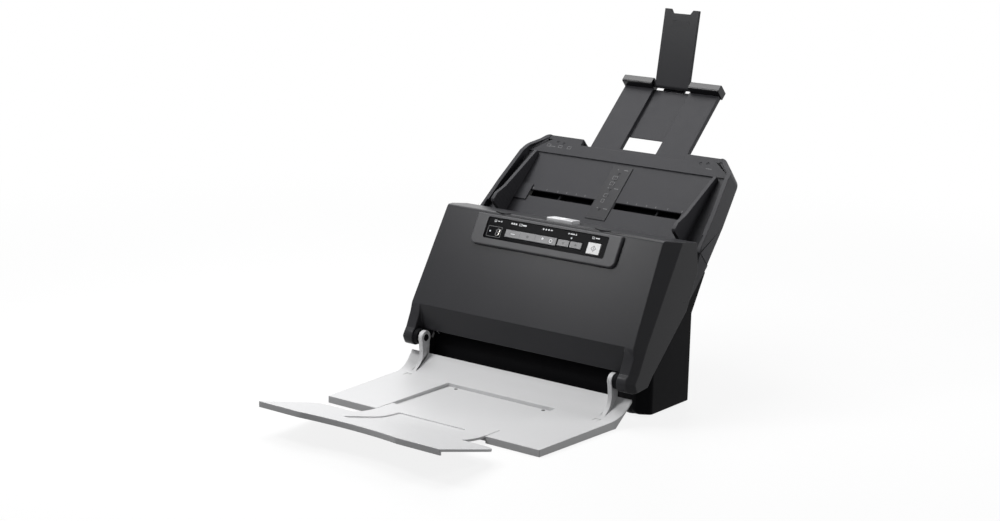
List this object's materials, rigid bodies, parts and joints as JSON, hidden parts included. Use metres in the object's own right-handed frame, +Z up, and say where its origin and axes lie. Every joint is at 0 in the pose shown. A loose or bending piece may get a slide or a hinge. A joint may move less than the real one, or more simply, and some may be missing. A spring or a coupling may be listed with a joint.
{
  "type": "document scanner",
  "caption": "Sheet-fed desktop document scanner: tilting front unit over a straight paper path, feed tray with sliding guides and flip-up support, folding output tray.",
  "frame": {"origin": "middle of the overall box, on the surface that the scanner stands on", "axes": "+Z up, +X to the right seen from the front, +Y from the front to the back"},
  "size_m": [0.28, 0.5274, 0.3604],
  "materials": {
    "charcoal_plastic": "fine moulded grain",
    "black_plastic": "fine moulded grain",
    "gloss_black": "polished",
    "light_grey_plastic": "fine moulded grain",
    "silver_plastic": "satin silver",
    "grey_key": "satin",
    "white_key": "satin",
    "smoked_window": "smoked",
    "scan_glass": "clear",
    "steel": "turned",
    "rubber": "matte",
    "roller_rubber": "matte",
    "white_resin": "moulded",
    "board_green": "solder mask",
    "display_black": "moulded"
  },
  "bodies": {
    "base": {"base_housing": "black_plastic", "bottom_plate": "black_plastic", "rubber_feet": "rubber", "base_screws": "steel", "hinge_bracket_left": "black_plastic", "hinge_bracket_right": "black_plastic", "hinge_pins": "black_plastic", "lower_frame": "steel", "shaft_bearings": "white_resin", "lower_guide": "black_plastic", "drive_belt": "rubber", "motor_belt": "rubber", "motor": "steel", "lower_scan_unit": "black_plastic", "lower_scan_glass": "scan_glass", "main_board": "board_green", "power_inlet": "black_plastic", "data_port": "silver_plastic", "switch_frame": "black_plastic", "feed_tray": "charcoal_plastic", "tray_back": "black_plastic", "centre_strip": "charcoal_plastic"},
    "power_rocker": {"power_rocker": "gloss_black"},
    "feed_roller": {"feed_shaft": "steel", "feed_tyres": "roller_rubber"},
    "register_roller": {"register_shaft": "steel", "register_tyres": "roller_rubber"},
    "eject_roller": {"eject_shaft": "steel", "eject_tyres": "roller_rubber"},
    "motor_rotor": {"motor_pulley": "steel"},
    "front_unit": {"front_cover": "charcoal_plastic", "inner_cover": "black_plastic", "upper_scan_unit": "black_plastic", "upper_scan_glass": "scan_glass", "console_bezel": "charcoal_plastic", "console_window": "smoked_window", "digit_display": "display_black", "panel_board": "board_green"},
    "long_key": {"long_key": "grey_key"},
    "left_pair_key": {"left_pair_key": "grey_key"},
    "right_pair_key": {"right_pair_key": "grey_key"},
    "start_key": {"start_key": "white_key"},
    "release": {"latch_shaft": "steel", "release_tab": "silver_plastic"},
    "retard_roller": {"retard_roller": "roller_rubber"},
    "register_idlers": {"register_idlers": "white_resin"},
    "eject_idlers": {"eject_idlers": "white_resin"},
    "left_guide": {"left_guide": "black_plastic", "left_rack": "white_resin"},
    "right_guide": {"right_guide": "black_plastic", "right_rack": "white_resin"},
    "rack_pinion": {"rack_pinion": "white_resin"},
    "tray_extension": {"tray_extension": "charcoal_plastic", "extension_crossbar": "gloss_black", "flip_pin": "steel"},
    "flip_support": {"flip_support": "charcoal_plastic"},
    "output_tray": {"output_tray": "light_grey_plastic"},
    "output_extension": {"output_extension": "light_grey_plastic"}
  },
  "joints": [
    {"name": "front_unit_open", "type": "hinge", "parent": "base", "child": "front_unit", "pos_m": [0, -0.01674, 0.041], "axis": [1, 0, 0], "range_deg": [0, 60]},
    {"name": "output_tray_fold", "type": "hinge", "parent": "base", "child": "output_tray", "pos_m": [0, -0.01674, 0.041], "axis": [1, 0, 0], "range_deg": [-114, 0]},
    {"name": "output_extension_slide", "type": "slide", "parent": "output_tray", "child": "output_extension", "axis": [0, -1, 0], "range_m": [-0.085, 0]},
    {"name": "tray_extension_slide", "type": "slide", "parent": "base", "child": "tray_extension", "axis": [0, 0.7254, 0.6884], "range_m": [-0.076, 0]},
    {"name": "flip_support_fold", "type": "hinge", "parent": "tray_extension", "child": "flip_support", "pos_m": [0, 0.25026, 0.28052], "axis": [-1, 0, 0], "range_deg": [-143.5, 0]},
    {"name": "left_guide_slide", "type": "slide", "parent": "base", "child": "left_guide", "axis": [1, 0, 0], "range_m": [0, 0.079]},
    {"name": "right_guide_slide", "type": "slide", "parent": "base", "child": "right_guide", "axis": [1, 0, 0], "range_m": [-0.079, 0]},
    {"name": "rack_pinion_turn", "type": "hinge", "parent": "base", "child": "rack_pinion", "pos_m": [0, 0.12936, 0.16924], "axis": [0, -0.6884, 0.7254], "range_deg": [-504, 0]},
    {"name": "long_key_press", "type": "slide", "parent": "front_unit", "child": "long_key", "axis": [0, 0.879, -0.4769], "range_m": [0, 0.0008], "stiffness_N_per_m": 900},
    {"name": "left_pair_key_press", "type": "slide", "parent": "front_unit", "child": "left_pair_key", "axis": [0, 0.879, -0.4769], "range_m": [0, 0.0008], "stiffness_N_per_m": 900},
    {"name": "right_pair_key_press", "type": "slide", "parent": "front_unit", "child": "right_pair_key", "axis": [0, 0.879, -0.4769], "range_m": [0, 0.0008], "stiffness_N_per_m": 900},
    {"name": "start_key_press", "type": "slide", "parent": "front_unit", "child": "start_key", "axis": [0, 0.879, -0.4769], "range_m": [0, 0.0008], "stiffness_N_per_m": 900},
    {"name": "release_tab_pull", "type": "hinge", "parent": "front_unit", "child": "release", "pos_m": [0, 0.05826, 0.15], "axis": [-1, 0, 0], "range_deg": [0, 12], "stiffness_Nm_per_rad": 0.4},
    {"name": "power_rocker_tilt", "type": "hinge", "parent": "base", "child": "power_rocker", "pos_m": [-0.06, 0.08326, 0.03], "axis": [1, 0, 0], "range_deg": [0, 14]},
    {"name": "feed_roller_spin", "type": "hinge", "parent": "base", "child": "feed_roller", "pos_m": [0, 0.07453, 0.11079], "axis": [1, 0, 0], "continuous": true},
    {"name": "register_roller_spin", "type": "hinge", "parent": "base", "child": "register_roller", "pos_m": [0, 0.05712, 0.09427], "axis": [1, 0, 0], "continuous": true},
    {"name": "eject_roller_spin", "type": "hinge", "parent": "base", "child": "eject_roller", "pos_m": [0, 0.01505, 0.05435], "axis": [1, 0, 0], "continuous": true},
    {"name": "motor_spin", "type": "hinge", "parent": "base", "child": "motor_rotor", "pos_m": [0, 0.04826, 0.04], "axis": [1, 0, 0], "continuous": true},
    {"name": "retard_roller_spin", "type": "hinge", "parent": "front_unit", "child": "retard_roller", "pos_m": [0, 0.06193, 0.12407], "axis": [1, 0, 0], "continuous": true},
    {"name": "register_idlers_spin", "type": "hinge", "parent": "front_unit", "child": "register_idlers", "pos_m": [0, 0.04452, 0.10755], "axis": [1, 0, 0], "continuous": true},
    {"name": "eject_idlers_spin", "type": "hinge", "parent": "front_unit", "child": "eject_idlers", "pos_m": [0, 0.00245, 0.06762], "axis": [1, 0, 0], "continuous": true}
  ],
  "couplings": [
    {"joint": "right_guide_slide", "follows": "left_guide_slide", "ratio": -1},
    {"joint": "rack_pinion_turn", "follows": "left_guide_slide", "rad_per_m": -111.11},
    {"joint": "register_roller_spin", "follows": "feed_roller_spin", "ratio": 1},
    {"joint": "eject_roller_spin", "follows": "feed_roller_spin", "ratio": 1},
    {"joint": "motor_spin", "follows": "feed_roller_spin", "ratio": 1.3},
    {"joint": "retard_roller_spin", "follows": "feed_roller_spin", "ratio": -1},
    {"joint": "register_idlers_spin", "follows": "feed_roller_spin", "ratio": -1},
    {"joint": "eject_idlers_spin", "follows": "feed_roller_spin", "ratio": -1}
  ]
}
